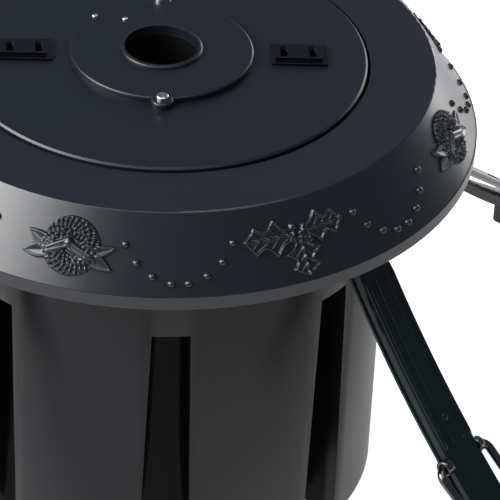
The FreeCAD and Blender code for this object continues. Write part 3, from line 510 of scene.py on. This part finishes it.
def wreath(across, up):
    """Ring of needles with a ribbon tied across it."""
    ring = wreath_ring(across, up)
    bands = [
        ribbon_tail(across, up, (-8.0, -2.2), (-20.0, 3.6), 2.9, 1.7),
        ribbon_tail(across, up, (-8.2, -3.4), (-20.4, -6.2), 2.9, 1.6),
        ribbon_tail(across, up, (7.6, -2.4), (19.8, 1.8), 2.3, 1.6),
        ribbon_tail(across, up, (7.4, -3.2), (18.6, -8.4), 2.9, 1.6),
        stroke(across, up, (-9.5, -2.4), (-1.2, 2.6), 1.7, 1.3, 2.9),
        stroke(across, up, (-9.5, -4.0), (-1.4, -0.2), 1.6, 1.2, 2.7),
        stroke(across, up, (-0.8, 1.2), (8.6, -3.4), 1.3, 1.8, 2.9),
        stroke(across, up, (-0.4, -1.4), (7.6, -4.6), 1.1, 1.5, 2.6),
        bump_up(np.abs(across + 1.0) + np.abs(up - 1.0), 3.0, 3.3),
    ]
    return np.max([ring] + bands, axis=0)


def bead(at_angle, up):
    """Small domed bead with a soft foot."""
    points = []
    for scale, height in BEAD_PROFILE:
        for k in range(BEAD_TURNS):
            angle = 2 * math.pi * k / BEAD_TURNS
            across = BEAD_R * scale * math.cos(angle)
            points.append(on_slope(across, up + BEAD_R * scale * math.sin(angle), BEAD_R * height, at_angle))
    points.append(on_slope(0.0, up, BEAD_R * BEAD_TOP, at_angle))
    faces = []
    last = (len(BEAD_PROFILE) - 1) * BEAD_TURNS
    for ring in range(0, last, BEAD_TURNS):
        for k in range(BEAD_TURNS):
            low = ring + k
            low_next = ring + (k + 1) % BEAD_TURNS
            faces.append((low, low_next, low_next + BEAD_TURNS, low + BEAD_TURNS))
    faces += [(last + k, last + (k + 1) % BEAD_TURNS, len(points) - 1) for k in range(BEAD_TURNS)]
    return points, faces


def bead_swag(name, middle):
    """Row of beads that hangs between two motifs."""
    points = []
    faces = []
    for offset, share in SWAG_BEADS:
        for side in (-1, 1):
            new_points, new_faces = bead(middle + side * math.radians(offset), (0.5 - share) * SLOPE_LENGTH)
            faces += [tuple(i + len(points) for i in face) for face in new_faces]
            points += new_points
    return new_piece(name, points, faces, "black_plastic", "base")


def build_rim_relief():
    for k in range(MOTIFS):
        relief("wreath_%d" % (k + 1), wreath, WREATH_HALF_SIZE, WREATH_ANGLE + k * MOTIF_PITCH)
        relief("holly_%d" % (k + 1), holly, HOLLY_HALF_SIZE, MOTIF_PITCH / 4 + k * MOTIF_PITCH)
    for k in range(2 * MOTIFS):
        bead_swag("bead_swag_%d" % (k + 1), k * MOTIF_PITCH / 2)


# ---- ribs pressed into the legs' faces ----
def leg_point(lean, across, height, direction):
    """Point near a leg's face, in metres.

    Lean is the angle about the bow's centre, and height is measured off the leg's middle line.
    """
    radius = LEG_BOW_R - height
    reach = BOW_CENTRE[0] + radius * math.cos(lean)
    z = BOW_CENTRE[1] + radius * math.sin(lean)
    c = math.cos(direction)
    s = math.sin(direction)
    return (MM * (reach * c - across * s), MM * (reach * s + across * c), MM * z)


def lean_at(reach):
    """Angle about the bow's centre where a leg's middle line has this radius from the turning axis."""
    return -math.acos((reach - BOW_CENTRE[0]) / LEG_BOW_R)


def leg_rib(points, faces, across, half_width, height, direction):
    """Add a half-round rib along the face that sinks into it at both ends."""
    start = lean_at(RIB_START_R)
    end = lean_at(RIB_END_R)
    first = len(points)
    for step in range(RIB_STEPS + 1):
        share = step / RIB_STEPS
        lean = start + (end - start) * share
        sink = min(1.0, share * 20, math.sqrt(max(0.0, (1 - share) * 40)))
        for k in range(RIB_TURNS + 1):
            angle = math.pi * k / RIB_TURNS
            up = height * sink * math.sin(angle) - RIB_SINK
            points.append(leg_point(lean, across + half_width * math.cos(angle), LEG_FACE + up, direction))
    row = RIB_TURNS + 1
    for step in range(RIB_STEPS):
        for k in range(RIB_TURNS):
            low = first + step * row + k
            faces.append((low, low + 1, low + 1 + row, low + row))


def build_leg_ribs():
    for name, azimuth in zip(LEG_NAMES, LEG_AZIMUTHS):
        points = []
        faces = []
        for side in (-1, 1):
            for across, half_width, height in (EDGE_RIB, INNER_RIB):
                leg_rib(points, faces, side * across, half_width, height, math.radians(azimuth))
        new_piece("leg_ribs_" + name, points, faces, "leg_enamel", "leg_" + name)


# ---- collars of the wire stays ----
def stay_collar(side):
    """Ring pressed on the leg's wall where the wire stay passes through it; along, across and up, in mm."""
    points = []
    for k in range(COLLAR_TURNS):
        angle = 2 * math.pi * k / COLLAR_TURNS
        points += [(STAY_PIVOT[0] + r * math.cos(angle), side * across, STAY_PIVOT[1] + r * math.sin(angle))
                   for r, across in COLLAR_SECTION]
    row = len(COLLAR_SECTION)
    faces = []
    for k in range(COLLAR_TURNS):
        for i in range(row):
            corners = [k * row + i, k * row + (i + 1) % row]
            corners += [(j + row) % (COLLAR_TURNS * row) for j in reversed(corners)]
            faces.append(corners if side < 0 else corners[::-1])
    return points, faces


def build_stay_collars():
    for name, azimuth in zip(LEG_NAMES, LEG_AZIMUTHS):
        c = math.cos(math.radians(azimuth))
        s = math.sin(math.radians(azimuth))
        for side, label in ((-1, "right"), (1, "left")):
            points, faces = stay_collar(side)
            placed = [(MM * (x * c - y * s), MM * (x * s + y * c), MM * z) for x, y, z in points]
            new_piece("stay_collar_" + name + "_" + label, placed, faces, "wire_enamel", "leg_" + name)


# ---- floor, lights and camera ----
def build_floor():
    """Pale paper that glows a little, so that it shows nearly white."""
    points = [(FLOOR_HALF * x, FLOOR_HALF * y, 0.0) for x, y in ((-1, -1), (1, -1), (1, 1), (-1, 1))]
    mesh = bpy.data.meshes.new("studio_floor")
    mesh.from_pydata(points, [], [(0, 1, 2, 3)])
    made = bpy.data.materials.new("pale_floor")
    made.use_nodes = True
    tree = made.node_tree
    tree.nodes.clear()
    place = add_node(tree, "ShaderNodeTexCoord").outputs["Object"]
    cloud = noise(tree, place, PAPER_SCALE)
    paper = mixed(tree, cloud, rgba(PAPER_DARK), rgba(PAPER_LIGHT))
    matt = add_node(tree, "ShaderNodeBsdfDiffuse", {"Color": paper})
    seen = add_node(tree, "ShaderNodeLightPath").outputs["Is Camera Ray"]
    strength = ranged(tree, seen, FLOOR_GLOW, FLOOR_GLOW_SEEN, 0.0, 1.0)
    glow = add_node(tree, "ShaderNodeEmission", {"Color": rgba(WHITE), "Strength": strength})
    both = add_node(tree, "ShaderNodeAddShader", {0: matt.outputs[0], 1: glow.outputs[0]})
    add_node(tree, "ShaderNodeOutputMaterial", {"Surface": both.outputs[0]})
    mesh.materials.append(made)
    floor = bpy.data.objects.new("studio_floor", mesh)
    bpy.context.scene.collection.objects.link(floor)


def build_world():
    """White behind the object, dim grey in its reflections."""
    world = bpy.data.worlds.new("studio")
    bpy.context.scene.world = world
    world.use_nodes = True
    tree = world.node_tree
    tree.nodes.clear()
    path = add_node(tree, "ShaderNodeLightPath")
    seen = mixed(tree, path.outputs["Is Camera Ray"], rgba(REFLECTED_GREY), rgba(WHITE))
    background = add_node(tree, "ShaderNodeBackground", {"Color": seen, "Strength": 1.0})
    add_node(tree, "ShaderNodeOutputWorld", {"Surface": background.outputs[0]})


def fade_across(light, fade):
    """Dim the light towards one side, over a share of its width."""
    light.use_nodes = True
    tree = light.node_tree
    place = add_node(tree, "ShaderNodeNewGeometry").outputs["Parametric"]
    across = add_node(tree, "ShaderNodeSeparateXYZ", {0: place}).outputs[0]
    span = {"Value": across, "From Min": fade[0], "From Max": fade[1], "To Min": 1.0, "To Max": 0.0}
    level = add_node(tree, "ShaderNodeMapRange", span, interpolation_type="SMOOTHSTEP")
    tree.links.new(level.outputs["Result"], tree.nodes["Emission"].inputs["Strength"])


def away_from(front_angle, elevation):
    """Unit vector out from the object, by degrees round from the front and degrees above the floor."""
    around = math.radians(front_angle)
    lift = math.radians(elevation)
    return Vector((math.sin(around) * math.cos(lift), -math.cos(around) * math.cos(lift), math.sin(lift)))


def softbox(name, front_angle, elevation, distance, width, height, radiance, fade=None):
    """Rectangular light that faces the object."""
    light = bpy.data.lights.new(name, "AREA")
    light.shape = "RECTANGLE"
    light.size = width
    light.size_y = height
    light.energy = radiance * math.pi * width * height
    if fade:
        fade_across(light, fade)
    lamp = bpy.data.objects.new(name, light)
    away = away_from(front_angle, elevation)
    lamp.location = Vector(LIGHT_AIM) + away * distance
    lamp.rotation_euler = away.to_track_quat("Z", "Y").to_euler()
    bpy.context.scene.collection.objects.link(lamp)
    return lamp


def keep_off_legs(lamp):
    """Let the lamp light everything but the legs and their stays."""
    lit = bpy.data.collections.new(lamp.name + "_receivers")
    for shown in bpy.data.objects:
        if shown.type == "MESH" and not shown.name.startswith(("leg_", "stay_")):
            lit.objects.link(shown)
    lamp.light_linking.receiver_collection = lit


def build_lights():
    softbox("key_left", front_angle=-62, elevation=34, distance=1.35, width=1.9, height=0.9,
            radiance=20.0, fade=(0.15, 0.95))
    softbox("top_panel", front_angle=0, elevation=74, distance=1.4, width=1.1, height=0.8, radiance=2.6)
    rim_light = softbox("back_right", front_angle=138, elevation=6, distance=1.5, width=0.9, height=0.9,
                        radiance=4.6)
    keep_off_legs(rim_light)


def build_camera():
    """Long lens from the front, slightly left and above, aimed low and to the right of the axis."""
    data = bpy.data.cameras.new("camera")
    data.lens = CAMERA_LENS
    data.sensor_width = SENSOR_WIDTH
    data.clip_end = CAMERA_FAR
    camera = bpy.data.objects.new("camera", data)
    cap_top = Vector((0.0, 0.0, CAP_TOP_Z * MM))
    camera.location = cap_top + away_from(CAMERA_ANGLE, CAMERA_ELEVATION) * CAMERA_DISTANCE
    level = (camera.location - Vector(CAMERA_AIM)).to_track_quat("Z", "Y")
    roll = Euler((0, 0, math.radians(CAMERA_ROLL))).to_quaternion()
    camera.rotation_euler = (level @ roll).to_euler()
    bpy.context.scene.collection.objects.link(camera)
    bpy.context.scene.camera = camera


dress_cad_nodes()
replace_sharp_nodes()
build_rim_relief()
build_leg_ribs()
build_stay_collars()
build_floor()
build_world()
build_lights()
build_camera()
bpy.context.scene.view_settings.view_transform = "Standard"
